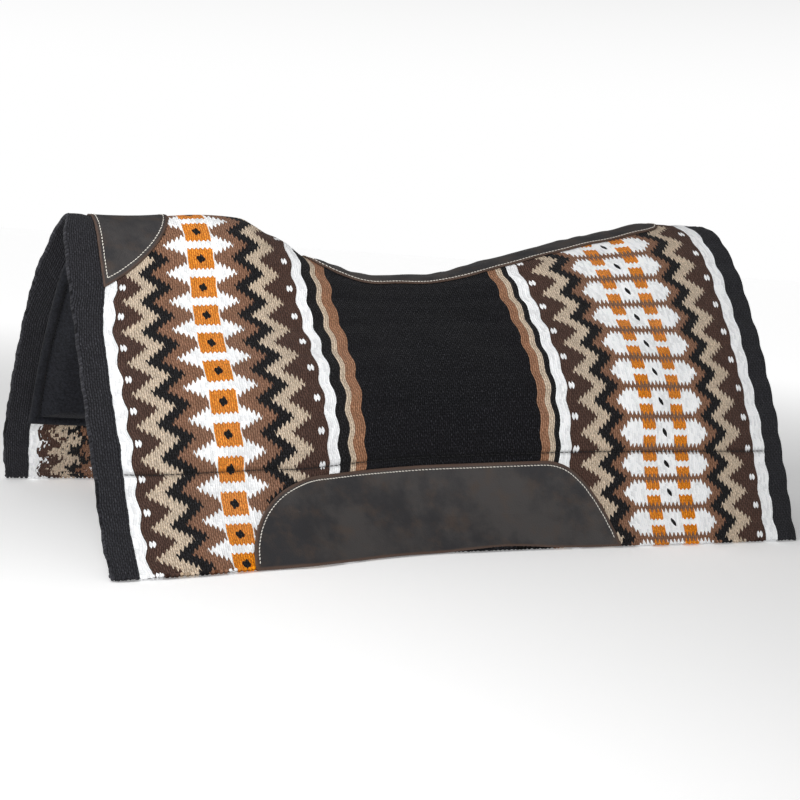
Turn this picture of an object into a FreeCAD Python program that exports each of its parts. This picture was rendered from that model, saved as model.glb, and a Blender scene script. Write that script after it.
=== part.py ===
import FreeCAD, Part

import math
import os

# A Western saddle pad standing on its two bottom edges: a woven wool top over felt cores and linings, with
# leather over the withers, along the spine and on both flaps. +X runs to the rear, -Y is the horse's left
# side, Y = 0 is the spine line, and Z = 0 is the plane under both hems. The layers are cut from one shape:
# the outer face of the woven top. Every layer is that face moved inwards or outwards by its depth. The two
# sides are mirror images that turn about one fold axis at the spine, so each is cut back from Y = 0 by the
# room that the fold needs.

# Driving dimensions, in millimetres and degrees.
SHEET_LENGTH = 864.0        # along the spine, front edge to rear edge
SIDE_DROP = 457.0           # spine to hem along the cloth, before the darts
WOVEN_THICKNESS = 6.0
CORE_THICKNESS = 12.0
LINING_THICKNESS = 5.0
LEATHER_THICKNESS = 2.0
THREAD_THICKNESS = 0.8
LAYER_GAP = 0.9

FOLD_HEIGHT = 332.0         # height of the fold axis
FOLD_ANGLE = 25.0           # each way from rest
FOLD_MARGIN = 3.0           # extra angle that the cut at the spine leaves clear
FOLD_CLEARANCE = 1.0        # least distance from the spine plane

LINING_INSET = 25.0         # front and rear edges of the lining, from those of the woven top
CORE_INSET = 36.0
LINING_SEAM = 116.0         # seam above the hem, along the cloth
LINING_BELOW_SEAM = 8.0
CORE_ABOVE_SEAM = 6.0

WEAR_FRONT_END = 156.0      # wear leather's ends at the hem, from the front edge
WEAR_REAR_END = 618.0
WEAR_FRONT_HEIGHT = 85.0    # its top edge rises towards the rear
WEAR_REAR_HEIGHT = 98.0
WEAR_CORNER_RADIUS = 72.0
WEAR_REACH = 160.0          # cloth above the hem that it is cut from
WITHER_FRONT = 36.0         # front edge of the wither leather, from the front edge
WITHER_REAR = 125.0
WITHER_HALF_WIDTH = 80.0    # as seen from above
WITHER_REACH = 135.0        # cloth down each side that the wither leather is cut from
SPINE_FRONT = 297.0
SPINE_REAR = 792.0
SPINE_HALF_WIDTH = 28.0     # as seen from above
STITCH_INSET = 6.0          # threads, from the edge of their leather
LINING_STITCH_INSET = 10.0  # threads, from the front and rear edges of the lining
STITCH_WIDTH = 1.0

# How the cloth hangs, at these fractions of the length from the front edge.
STATIONS = [0.0, 0.125, 0.25, 0.375, 0.5, 0.75, 1.0]
# Fall beside the spine, in degrees below level.
SLOPE = [49.0, 54.5, 58.0, 58.2, 56.5, 55.5, 63.0]
# Cloth over which the spine rounds into that fall.
ROUNDING = [34.0, 40.7, 49.0, 59.8, 71.0, 84.0, 75.0]
# Further fall gained down to the hem, in degrees.
STEEPENING = [6.0, 0.4, 0.0, 7.8, 18.5, 28.0, 17.0]
# How far the hem lies behind the spine.
LEAN = [2.5, 6.6, 11.2, 16.8, 24.0, 44.5, 67.5]
# Fall gained and lost again as the flap bulges and flares, in degrees.
SWAY = [0.0, 7.3, 13.5, 17.5, 18.0, 9.0, 1.0]
SWAY_STEEPEST = 136.0       # where it is gained: cloth above the hem
SWAY_LENGTH = 255.0         # cloth from one gain to the next
# Cloth taken out at the spine on each side, at these fractions of the length.
DART_STATIONS = [0.0, 0.2, 0.245, 0.29, 0.36, 0.45, 0.55, 0.68, 0.8, 0.85, 0.9, 1.0]
DART = [0.0, 2.0, 4.0, 27.0, 55.0, 72.0, 66.0, 41.0, 17.0, 8.0, 2.0, 1.0]

CLOTH_STEP = 2.0            # spacing of the points that a section is worked out at
STATION_COUNT = 37          # sections that a full-length face passes through
LINE_COUNT = 25             # points from spine to hem that it passes through
CUT_ROOM = 40.0             # how far a layer reaches past the outline that it is cut to
OUT_OF_REACH = 600.0        # longer than any cut needs

CENTRING = LEAN[-1] / 2.0   # moves the outline's middle to X = 0
CORE_DEPTH = WOVEN_THICKNESS + LAYER_GAP
LINING_DEPTH = CORE_DEPTH + CORE_THICKNESS + LAYER_GAP
INNER_DEPTH = LINING_DEPTH + LINING_THICKNESS
LEATHER_LOWER = -LAYER_GAP
LEATHER_UPPER = LEATHER_LOWER - LEATHER_THICKNESS
THREAD_LOWER = LEATHER_UPPER - LAYER_GAP
THREAD_UPPER = THREAD_LOWER - THREAD_THICKNESS


def station_value(stations, values, fraction):
    """Value at a fraction of the length: a smooth curve through the stations that never overshoots."""
    spans = [after - before for before, after in zip(stations, stations[1:])]
    rises = [(after - before) / span for before, after, span in zip(values, values[1:], spans)]
    tangents = [rises[0]]
    for before, after in zip(rises, rises[1:]):
        turning = before * after <= 0.0
        tangents.append(0.0 if turning else 2.0 * before * after / (before + after))
    tangents.append(rises[-1])
    index = 0
    while index < len(spans) - 1 and fraction > stations[index + 1]:
        index += 1
    t = (fraction - stations[index]) / spans[index]
    start, end = values[index], values[index + 1]
    bend = spans[index] * (tangents[index] * (1.0 - t) - tangents[index + 1] * t)
    return start + (end - start) * t * t * (3.0 - 2.0 * t) + bend * t * (1.0 - t)


def section(fraction):
    """The outer face at one station, right side: (cloth from the spine, y, z, fall in radians)."""
    cloth = SIDE_DROP - station_value(DART_STATIONS, DART, fraction)
    slope = station_value(STATIONS, SLOPE, fraction)
    rounding = station_value(STATIONS, ROUNDING, fraction)
    steepening = station_value(STATIONS, STEEPENING, fraction)
    sway = station_value(STATIONS, SWAY, fraction)
    steps = int(cloth / CLOTH_STEP) + 1
    step = cloth / steps

    def fall_at(along):
        turn = 2.0 * math.pi * (cloth - along - SWAY_STEEPEST) / SWAY_LENGTH
        degrees = slope + steepening * along / SIDE_DROP + sway * math.cos(turn)
        return math.radians(degrees * math.tanh(along / rounding))

    points = [(0.0, 0.0, 0.0, 0.0)]
    for count in range(steps):
        fall = fall_at((count + 0.5) * step)
        end = (count + 1) * step
        _, y, z, _ = points[-1]
        points.append((end, y + step * math.cos(fall), z - step * math.sin(fall), fall_at(end)))
    hem = points[-1][2]
    return [(along, y, z - hem, fall) for along, y, z, fall in points]


def between(first, second, index, value):
    """The point between two neighbours where one of their values is the one asked for."""
    share = (value - first[index]) / (second[index] - first[index])
    return tuple(a + (b - a) * share for a, b in zip(first, second))


def fold_room(spine_height):
    """Distance from Y = 0 that a side keeps at this height, so that the two sides can turn."""
    lever = (spine_height - FOLD_HEIGHT) * math.tan(math.radians(FOLD_ANGLE + FOLD_MARGIN) / 2.0)
    return math.hypot(lever, FOLD_CLEARANCE)


def side_line(fraction, depth, top=None, bottom=0.0, count=LINE_COUNT):
    """Points down one side at a depth under the outer face.

    top and bottom are lengths of cloth above the hem. A top of None starts the line at the fold's cut, and a
    bottom of 0 ends it on the floor plane, or at the hem where the line lies outside the outer face.
    """
    hang = [
        (along, y - depth * math.sin(fall), z - depth * math.cos(fall))
        for along, y, z, fall in section(fraction)
    ]
    total = hang[-1][0]
    start_index, start = (1, fold_room(hang[0][2])) if top is None else (0, total - top)
    kept = [point for point in hang if point[start_index] > start]
    before = hang[len(hang) - len(kept) - 1]
    kept.insert(0, between(before, kept[0], start_index, start))
    to_floor = bottom == 0.0 and depth > 0.0
    if to_floor:
        inside = [point for point in kept if point[2] > 0.0]
        inside.append(between(inside[-1], kept[len(inside)], 2, 0.0))
    elif bottom > 0.0:
        inside = [point for point in kept if point[0] < total - bottom]
        inside.append(between(inside[-1], kept[len(inside)], 0, total - bottom))
    else:
        inside = kept
    line = evenly_spaced(fraction, inside, count)
    if to_floor:
        line[-1].z = 0.0
    return line


def evenly_spaced(fraction, points, count):
    """As many points as asked for, evenly spaced along a line of (cloth, y, z) points."""
    first, last = points[0][0], points[-1][0]
    line = [placed(fraction, *points[0])]
    index = 1
    for number in range(1, count - 1):
        wanted = first + (last - first) * number / (count - 1)
        while points[index][0] < wanted:
            index += 1
        line.append(placed(fraction, *between(points[index - 1], points[index], 0, wanted)))
    line.append(placed(fraction, *points[-1]))
    return line


def placed(fraction, along, y, z):
    """A point in the part's frame, leaned towards the rear as it nears the hem."""
    lean = station_value(STATIONS, LEAN, fraction) * along / SIDE_DROP
    return FreeCAD.Vector((fraction - 0.5) * SHEET_LENGTH + lean - CENTRING, y, z)


def crossing_line(fraction, depth, reach):
    """Points across the spine, from one side to the other, at a depth under the outer face."""
    total = section(fraction)[-1][0]
    right = side_line(fraction, depth, total, total - reach)
    left = [FreeCAD.Vector(point.x, -point.y, point.z) for point in right]
    return left[:0:-1] + right


def fractions(start, end, count=STATION_COUNT):
    """Evenly spaced stations between two distances from the front edge."""
    return [(start + (end - start) * number / (count - 1)) / SHEET_LENGTH for number in range(count)]


def closed_layer(upper_lines, lower_lines):
    """Solid between two faces, each passing through its own lines."""
    faces = []
    edges = []
    for lines in (upper_lines, lower_lines):
        surface = Part.BSplineSurface()
        surface.interpolate(lines)
        u_first, u_last, v_first, v_last = surface.bounds()
        faces.append(surface.toShape())
        sides = (surface.uIso(u_first), surface.uIso(u_last), surface.vIso(v_first), surface.vIso(v_last))
        edges.append([curve.toShape() for curve in sides])
    for upper, lower in zip(*edges):
        faces.append(side_face(upper, lower))
    shell = Part.makeShell(faces)
    shell.sewShape()
    solid = Part.makeSolid(shell)
    if solid.Volume < 0.0:
        solid.reverse()
    return solid


def side_face(upper, lower):
    """Face between two edges: a true plane where both lie on the floor, and a ruled one elsewhere."""
    on_floor = max(upper.BoundBox.ZMax, lower.BoundBox.ZMax) < 1e-6
    if not on_floor:
        return Part.makeRuledSurface(upper, lower)
    ends = [
        Part.makeLine(upper.Vertexes[number].Point, lower.Vertexes[number].Point)
        for number in range(2)
    ]
    return Part.Face(Part.Wire(Part.__sortEdges__([upper, lower] + ends)))


def side_layer(start, end, upper_depth, lower_depth, top=None, bottom=0.0, count=STATION_COUNT):
    """A layer on the right side, between two distances from the front edge."""
    stations = fractions(start, end, count)
    upper = [side_line(fraction, upper_depth, top, bottom) for fraction in stations]
    lower = [side_line(fraction, lower_depth, top, bottom) for fraction in stations]
    return closed_layer(upper, lower)


def crossing_layer(start, end, reach, upper_depth, lower_depth):
    """A layer across the spine, as far down each side as reach."""
    stations = fractions(start, end)
    upper = [crossing_line(fraction, upper_depth, reach) for fraction in stations]
    lower = [crossing_line(fraction, lower_depth, reach) for fraction in stations]
    return closed_layer(upper, lower)


def prism(edges, way):
    """The space that an outline sweeps when it moves along way."""
    return Part.Face(Part.Wire(edges)).extrude(way)


def frame_x(from_front):
    """X of a distance from the front edge, at the spine."""
    return from_front - SHEET_LENGTH / 2.0 - CENTRING


def hem_x(from_front):
    """X of a distance from the front edge, at the hem."""
    fraction = from_front / SHEET_LENGTH
    return side_line(fraction, 0.0)[-1].x


def wear_prism(inset):
    """Cuts out the D of the wear leather, or of a line that runs inside its edge."""
    front = hem_x(WEAR_FRONT_END) + inset
    rear = hem_x(WEAR_REAR_END) - inset
    front_top = WEAR_FRONT_HEIGHT - inset
    rear_top = WEAR_REAR_HEIGHT - inset
    radius = WEAR_CORNER_RADIUS - inset
    slant = radius * math.cos(math.radians(45.0))

    def at(x, z):
        return FreeCAD.Vector(x, 0.0, z)

    front_start, front_end = at(front, front_top - radius), at(front + radius, front_top)
    rear_start, rear_end = at(rear - radius, rear_top), at(rear, rear_top - radius)
    front_middle = at(front + radius - slant, front_top - radius + slant)
    rear_middle = at(rear - radius + slant, rear_top - radius + slant)
    low_front, low_rear = at(front, -radius), at(rear, -radius)
    edges = [
        Part.makeLine(low_front, front_start),
        Part.Arc(front_start, front_middle, front_end).toShape(),
        Part.makeLine(front_end, rear_start),
        Part.Arc(rear_start, rear_middle, rear_end).toShape(),
        Part.makeLine(rear_end, low_rear),
        Part.makeLine(low_rear, low_front),
    ]
    return prism(edges, FreeCAD.Vector(0.0, OUT_OF_REACH, 0.0))


def wither_prism(inset):
    """Cuts out the half-round wither leather, or a line that runs inside its edge, seen from above."""
    front = frame_x(WITHER_FRONT) + inset
    rear = frame_x(WITHER_REAR) - inset
    half_width = WITHER_HALF_WIDTH - 2.0 * inset
    tip_right = FreeCAD.Vector(front, half_width, 0.0)
    tip_left = FreeCAD.Vector(front, -half_width, 0.0)
    edges = [
        Part.makeLine(tip_left, tip_right),
        Part.Arc(tip_right, FreeCAD.Vector(rear, 0.0, 0.0), tip_left).toShape(),
    ]
    return prism(edges, FreeCAD.Vector(0.0, 0.0, OUT_OF_REACH))


def spine_prism(inset):
    """Cuts out the spine leather, a strip with round ends, or a line inside its edge, from above."""
    half_width = SPINE_HALF_WIDTH - inset
    front = frame_x(SPINE_FRONT) + SPINE_HALF_WIDTH
    rear = frame_x(SPINE_REAR) - SPINE_HALF_WIDTH

    def at(x, y):
        return FreeCAD.Vector(x, y, 0.0)

    edges = [
        Part.makeLine(at(front, half_width), at(rear, half_width)),
        Part.Arc(at(rear, half_width), at(rear + half_width, 0.0), at(rear, -half_width)).toShape(),
        Part.makeLine(at(rear, -half_width), at(front, -half_width)),
        Part.Arc(at(front, -half_width), at(front - half_width, 0.0), at(front, half_width)).toShape(),
    ]
    return prism(edges, FreeCAD.Vector(0.0, 0.0, OUT_OF_REACH))


def ring(outline, inset):
    """The narrow loop that a row of stitches covers inside an outline."""
    return outline(inset).cut(outline(inset + STITCH_WIDTH))


def woven_top():
    return side_layer(0.0, SHEET_LENGTH, 0.0, WOVEN_THICKNESS)


def felt_core():
    return side_layer(CORE_INSET, SHEET_LENGTH - CORE_INSET, CORE_DEPTH, CORE_DEPTH + CORE_THICKNESS,
                      bottom=LINING_SEAM + CORE_ABOVE_SEAM)


def felt_lining():
    return side_layer(LINING_INSET, SHEET_LENGTH - LINING_INSET, LINING_DEPTH, INNER_DEPTH,
                      bottom=LINING_SEAM - LINING_BELOW_SEAM)


def wear_slab(upper_depth, lower_depth):
    """A layer that reaches past the wear leather at both ends and at the top."""
    return side_layer(WEAR_FRONT_END - CUT_ROOM, WEAR_REAR_END + CUT_ROOM, upper_depth, lower_depth,
                      top=WEAR_REACH)


def wear_leather():
    return wear_slab(LEATHER_UPPER, LEATHER_LOWER).common(wear_prism(0.0))


def wear_leather_stitching():
    return wear_slab(THREAD_UPPER, THREAD_LOWER).common(ring(wear_prism, STITCH_INSET))


def lining_seam_stitching():
    """The row of stitches along the lining seam, on the outer face."""
    half_width = STITCH_WIDTH / 2.0
    return side_layer(LINING_INSET, SHEET_LENGTH - LINING_INSET, -(LAYER_GAP + THREAD_THICKNESS), -LAYER_GAP,
                      top=LINING_SEAM + half_width, bottom=LINING_SEAM - half_width)


def lining_edge_stitching():
    """The two rows of stitches that hold the lining's front and rear edges, on its inner face."""
    from_edge = LINING_INSET + LINING_STITCH_INSET
    rows = []
    for start in (from_edge, SHEET_LENGTH - from_edge - STITCH_WIDTH):
        rows.append(side_layer(start, start + STITCH_WIDTH, INNER_DEPTH + LAYER_GAP,
                               INNER_DEPTH + LAYER_GAP + THREAD_THICKNESS, bottom=LINING_SEAM, count=3))
    return Part.makeCompound(rows)


def wither_slab(upper_depth, lower_depth):
    """A layer over the front of the spine that reaches past the wither leather at its rear."""
    return crossing_layer(WITHER_FRONT - CUT_ROOM / 2.0, WITHER_REAR + CUT_ROOM, WITHER_REACH, upper_depth,
                          lower_depth)


def wither_leather():
    return wither_slab(LEATHER_UPPER, LEATHER_LOWER).common(wither_prism(0.0))


def wither_leather_stitching():
    return wither_slab(THREAD_UPPER, THREAD_LOWER).common(ring(wither_prism, STITCH_INSET))


def spine_slab(upper_depth, lower_depth):
    """A layer along the dip of the spine that reaches past the spine leather all round."""
    return crossing_layer(SPINE_FRONT - CUT_ROOM / 2.0, SPINE_REAR + CUT_ROOM / 2.0,
                          SPINE_HALF_WIDTH + CUT_ROOM, upper_depth, lower_depth)


def spine_leather():
    return spine_slab(LEATHER_UPPER, LEATHER_LOWER).common(spine_prism(0.0))


def spine_leather_stitching():
    return spine_slab(THREAD_UPPER, THREAD_LOWER).common(ring(spine_prism, STITCH_INSET))


def write_node(name, shape):
    shape.exportStep("parts/" + name + ".step")
    print(name, "valid" if shape.isValid() else "NOT VALID", "solids", len(shape.Solids),
          "volume cm3", round(shape.Volume / 1000.0, 1))


SIDE_PIECES = {
    "woven_top": woven_top,
    "felt_core": felt_core,
    "felt_lining": felt_lining,
    "wear_leather": wear_leather,
    "wear_leather_stitching": wear_leather_stitching,
    "lining_seam_stitching": lining_seam_stitching,
    "lining_edge_stitching": lining_edge_stitching,
}
SPINE_PIECES = {
    "wither_leather": wither_leather,
    "wither_leather_stitching": wither_leather_stitching,
    "spine_leather": spine_leather,
    "spine_leather_stitching": spine_leather_stitching,
}

os.makedirs("parts", exist_ok=True)
for name, make in SIDE_PIECES.items():
    right = make()
    write_node(name + "_right", right)
    write_node(name + "_left", right.mirror(FreeCAD.Vector(0, 0, 0), FreeCAD.Vector(0, 1, 0)))
for name, make in SPINE_PIECES.items():
    write_node(name, make())
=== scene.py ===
import math
from functools import partialmethod

import bmesh
import bpy
import numpy as np
from mathutils import Matrix, Vector


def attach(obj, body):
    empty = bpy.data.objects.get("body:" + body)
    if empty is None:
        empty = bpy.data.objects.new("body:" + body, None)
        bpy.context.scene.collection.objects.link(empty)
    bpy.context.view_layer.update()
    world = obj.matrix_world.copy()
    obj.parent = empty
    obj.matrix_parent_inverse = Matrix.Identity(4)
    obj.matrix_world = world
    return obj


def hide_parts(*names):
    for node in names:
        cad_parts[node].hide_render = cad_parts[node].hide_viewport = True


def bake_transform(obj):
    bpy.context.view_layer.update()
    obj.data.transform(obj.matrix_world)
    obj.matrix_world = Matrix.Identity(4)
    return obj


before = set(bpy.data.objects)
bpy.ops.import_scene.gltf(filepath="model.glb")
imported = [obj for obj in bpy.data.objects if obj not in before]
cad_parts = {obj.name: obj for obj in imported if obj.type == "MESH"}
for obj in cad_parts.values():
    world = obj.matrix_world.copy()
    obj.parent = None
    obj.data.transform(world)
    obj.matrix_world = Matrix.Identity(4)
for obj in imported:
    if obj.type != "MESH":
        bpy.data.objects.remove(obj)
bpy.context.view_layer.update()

# The looks of a Western saddle pad. Lengths are in metres in the part's own frame: +X runs to the rear, -Y is
# the horse's left side, and Z = 0 is under both hems. A place on the cloth is given by from_front, its
# distance from the front edge, and across, its distance from the spine along the cloth, negative on the left.
# Above_hem is the cloth left below it. Outward is how far a point stands off the woven top's outer face.

rng = np.random.default_rng(11)

LEFT, RIGHT = -1.0, 1.0
SIDES = {"left": LEFT, "right": RIGHT}

# The sheet and its layers, as in the part's design.
SHEET_LENGTH = 0.864
SIDE_DROP = 0.457
WOVEN_THICKNESS = 0.006
CORE_THICKNESS = 0.012
LINING_THICKNESS = 0.005
LEATHER_THICKNESS = 0.0022
LAYER_GAP = 0.0009
LINING_INSET = 0.025
CORE_INSET = 0.036
LINING_SEAM = 0.116
LINING_BELOW_SEAM = 0.008

# How the cloth hangs, at these fractions of the length from the front edge.
STATIONS = [0.0, 0.125, 0.25, 0.375, 0.5, 0.75, 1.0]
SLOPE = [49.0, 54.5, 58.0, 58.2, 56.5, 55.5, 63.0]
ROUNDING = [0.034, 0.0407, 0.049, 0.0598, 0.071, 0.084, 0.075]
STEEPENING = [6.0, 0.4, 0.0, 7.8, 18.5, 28.0, 17.0]
LEAN = [0.0025, 0.0066, 0.0112, 0.0168, 0.024, 0.0445, 0.0675]
SWAY = [0.0, 7.3, 13.5, 17.5, 18.0, 9.0, 1.0]
SWAY_STEEPEST = 0.136
SWAY_LENGTH = 0.255
DART_STATIONS = [0.0, 0.2, 0.245, 0.29, 0.36, 0.45, 0.55, 0.68, 0.8, 0.85, 0.9, 1.0]
DART = [0.0, 0.002, 0.004, 0.027, 0.055, 0.072, 0.066, 0.041, 0.017, 0.008, 0.002, 0.001]
CENTRING = LEAN[-1] / 2.0

# Leathers: ends are distances from the front edge.
WEAR_FRONT, WEAR_REAR = 0.156, 0.618
WEAR_TOP = 0.107
WEAR_CORNER = 0.097
WEAR_REAR_CORNER = 0.060
WEAR_SLANT = 0.3            # how fast its rear edge slants forward
WEAR_BOTTOM = 0.0012
WITHER_FRONT, WITHER_REAR = 0.036, 0.125
WITHER_REACH = 0.115
SPINE_FRONT, SPINE_REAR = 0.297, 0.792
SPINE_REACH = 0.029
HEM_SHOWS_AT = 0.475        # where the woven hem shows under the wear leather
HEM_SHOWS_WIDTH = 0.050
HEM_SHOWING = 0.0045
LOWEST = 0.0004             # height of the lowest points over the ground
STITCH_INSET = 0.0052
SPINE_STITCH_INSET = 0.0028
ON_LEATHER = LEATHER_THICKNESS + 0.0001     # height of the white stitches over the cloth

# The weave: each pick of weft runs down the side, over one warp and under the next.
PICK_WIDTH = 0.0026
REPEAT = 0.0372             # height of one repeat of the pattern
FLOAT_LENGTH = REPEAT / 6.0
REPEAT_START = 0.0105       # height of the first row of squares
FRONT_BAND, REAR_BAND = 0.147, 0.691   # middle of each patterned band

# The fold, where pieces that cross the spine bend from one side's body to the other's.
FOLD_HEIGHT = 0.332
FOLD_ANGLE = 28.0           # degrees that the sides turn each way, with some to spare
FOLD_CLEARANCE = 0.014      # cloth beside the spine that stays free even where the fold's axis runs

# The camera: its angles in degrees, the point it looks at, how far off it stands, and its lens.
CAMERA_AZIMUTH = 25.794
CAMERA_ELEVATION = 6.514
CAMERA_ROLL = 4.445
CAMERA_TARGET = (0.00865 - CENTRING, 0.0, 0.1476)
CAMERA_DISTANCE = 1.9211
CAMERA_SENSOR = 36.0        # millimetres, as is the lens
CAMERA_LENS = 69.27336


def station_value(stations, values, fraction):
    """Values at fractions of the length: a smooth curve through the stations that never overshoots."""
    stations, values = np.array(stations), np.array(values)
    spans = np.diff(stations)
    rises = np.diff(values) / spans
    turning = rises[:-1] * rises[1:] <= 0.0
    total = np.where(turning, 1.0, rises[:-1] + rises[1:])
    inner = np.where(turning, 0.0, 2.0 * rises[:-1] * rises[1:] / total)
    tangents = np.concatenate([rises[:1], inner, rises[-1:]])
    index = np.clip(np.searchsorted(stations, fraction) - 1, 0, len(spans) - 1)
    t = (fraction - stations[index]) / spans[index]
    start, end = values[index], values[index + 1]
    bend = spans[index] * (tangents[index] * (1.0 - t) - tangents[index + 1] * t)
    return start + (end - start) * t * t * (3.0 - 2.0 * t) + bend * t * (1.0 - t)


def smooth(low, high, value):
    """0 below low, 1 above high, and a smooth step between."""
    t = np.clip((value - low) / (high - low), 0.0, 1.0)
    return t * t * (3.0 - 2.0 * t)


def between(value, rise, fall):
    """0 outside and 1 between two smooth steps, each given by where it starts and ends."""
    return smooth(*rise, value) * (1.0 - smooth(*fall, value))


def bump_at(value, middle, width):
    """A smooth hump, 1 at its middle."""
    return np.exp(-((value - middle) / width) ** 2)


def paired(first, second):
    """Two rows of numbers as one row of pairs."""
    return np.stack([first, second], axis=-1)


def unit(rows):
    """Each row's direction, with a length of 1."""
    return rows / np.linalg.norm(rows, axis=1, keepdims=True)


HANG_STATIONS = 433         # finely spaced stations from front to rear
HANG_STEPS = 240            # and steps from the spine down to the hem, for the tables below


def hang_tables():
    """Distance from the spine plane, height and fall over the whole side, and the cloth at each station."""
    fraction = np.linspace(0.0, 1.0, HANG_STATIONS)[:, None]
    cloth = SIDE_DROP - station_value(DART_STATIONS, DART, fraction)
    along = cloth * np.linspace(0.0, 1.0, HANG_STEPS + 1)[None, :]
    turn = 2.0 * np.pi * (cloth - along - SWAY_STEEPEST) / SWAY_LENGTH
    slope, steepening, sway, rounding = (
        station_value(STATIONS, values, fraction) for values in (SLOPE, STEEPENING, SWAY, ROUNDING))
    degrees = (slope + steepening * along / SIDE_DROP + sway * np.cos(turn)) * np.tanh(along / rounding)
    fall = np.radians(degrees)
    step = cloth / HANG_STEPS

    def added_up(rate):
        steps = step * (rate[:, 1:] + rate[:, :-1]) / 2.0
        return np.concatenate([np.zeros((HANG_STATIONS, 1)), np.cumsum(steps, axis=1)], axis=1)

    drop = added_up(np.sin(fall))
    return added_up(np.cos(fall)), drop[:, -1:] - drop, fall, cloth[:, 0]


HANG_Y, HANG_Z, HANG_FALL, HANG_CLOTH = hang_tables()


def cloth_at(from_front):
    """Cloth from the spine to the hem."""
    station = np.clip(from_front / SHEET_LENGTH, 0.0, 1.0) * (HANG_STATIONS - 1)
    return np.interp(station, np.arange(HANG_STATIONS), HANG_CLOTH)


def across_of(from_front, above_hem, side):
    return side * (cloth_at(from_front) - above_hem)


def on_side(line, side):
    """A line of (from_front, above_hem) as one of (from_front, across)."""
    return paired(line[:, 0], across_of(line[:, 0], line[:, 1], side))


def looked_up(table, station, step):
    """A table's values at places between its rows and columns."""
    i = np.clip(station.astype(int), 0, HANG_STATIONS - 2)
    j = np.clip(step.astype(int), 0, HANG_STEPS - 1)
    u, v = station - i, step - j
    near = table[i, j] * (1.0 - v) + table[i, j + 1] * v
    far = table[i + 1, j] * (1.0 - v) + table[i + 1, j + 1] * v
    return near * (1.0 - u) + far * u


def place(from_front, across, outward=0.0):
    """Points in the part's frame, as rows of x, y, z with the shape of the inputs."""
    from_front, across, outward = np.broadcast_arrays(from_front, across, outward)
    fraction = np.clip(from_front / SHEET_LENGTH, 0.0, 1.0)
    side = np.sign(across)
    along = np.abs(across)
    station = fraction * (HANG_STATIONS - 1)
    step = along / cloth_at(from_front) * HANG_STEPS
    y = looked_up(HANG_Y, station, step)
    z = looked_up(HANG_Z, station, step)
    fall = looked_up(HANG_FALL, station, step)
    lean = station_value(STATIONS, LEAN, fraction) * along / SIDE_DROP
    forward, tucked, lowered = settled(from_front, along, side)
    x = from_front - SHEET_LENGTH / 2.0 + lean - CENTRING - forward
    y = y + outward * np.sin(fall) - tucked
    return np.stack([x, side * y, z + outward * np.cos(fall) - lowered], axis=-1)


def settled(from_front, along, side):
    """How the cloth has settled away from its even hang, as shifts to the front, inwards and down.

    The right side's front edge bows out half way down and curls in at its lower corner, the front edge is
    drawn back where it crosses the spine, and the fold is a little flatter over the withers and fuller
    behind them.
    """
    by_front = 1.0 - smooth(0.0, 0.20, from_front)
    bow = 0.4 * bump_at(along, 0.19, 0.12)
    shoulder = smooth(0.0, 0.035, along) * (1.0 - smooth(0.05, 0.12, along))
    right = side > 0.0
    drawn_back = 0.019 * np.exp(-along / 0.025) * (1.0 - smooth(0.0, 0.042, from_front))
    corner = smooth(0.36, 0.46, along)
    forward = right * by_front * (0.0055 * bow - 0.0050 * shoulder - 0.0070 * corner) - drawn_back
    tucked = right * by_front * (0.020 * smooth(0.20, 0.46, along) ** 1.5 - 0.008 * bow)
    withers = smooth(0.015, 0.045, from_front) * (1.0 - smooth(0.17, 0.24, from_front))
    lowered = (0.0012 * withers - 0.0055 * by_front ** 12) * bump_at(along, 0.0, 0.07)
    lowered = lowered - 0.0055 * bump_at(from_front, 0.268, 0.020) * bump_at(along, 0.0, 0.045)
    return forward, tucked, lowered


def fold_room(from_front):
    """Cloth beside the spine that a piece on one side leaves free, so that the sides can fold."""
    lever = place(from_front, 0.0)[..., 2] - FOLD_HEIGHT
    return np.abs(lever) * math.tan(math.radians(FOLD_ANGLE) / 2.0) + FOLD_CLEARANCE


# Meshes

def linked(name, data):
    """A new object in the scene."""
    made = bpy.data.objects.new(name, data)
    bpy.context.scene.collection.objects.link(made)
    return made


def new_object(name, points, faces, material, weave=None):
    """A mesh with its material. Weave holds three numbers for each point, which the material reads."""
    mesh = bpy.data.meshes.new(name)
    mesh.from_pydata([tuple(point) for point in points], [], faces)
    mesh.polygons.foreach_set("use_smooth", [True] * len(mesh.polygons))
    if weave is not None:
        attribute = mesh.attributes.new("weave", "FLOAT_VECTOR", "POINT")
        attribute.data.foreach_set("vector", np.asarray(weave, np.float32).ravel())
    mesh.materials.append(material)
    mesh.validate()
    return linked(name, mesh)


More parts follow.
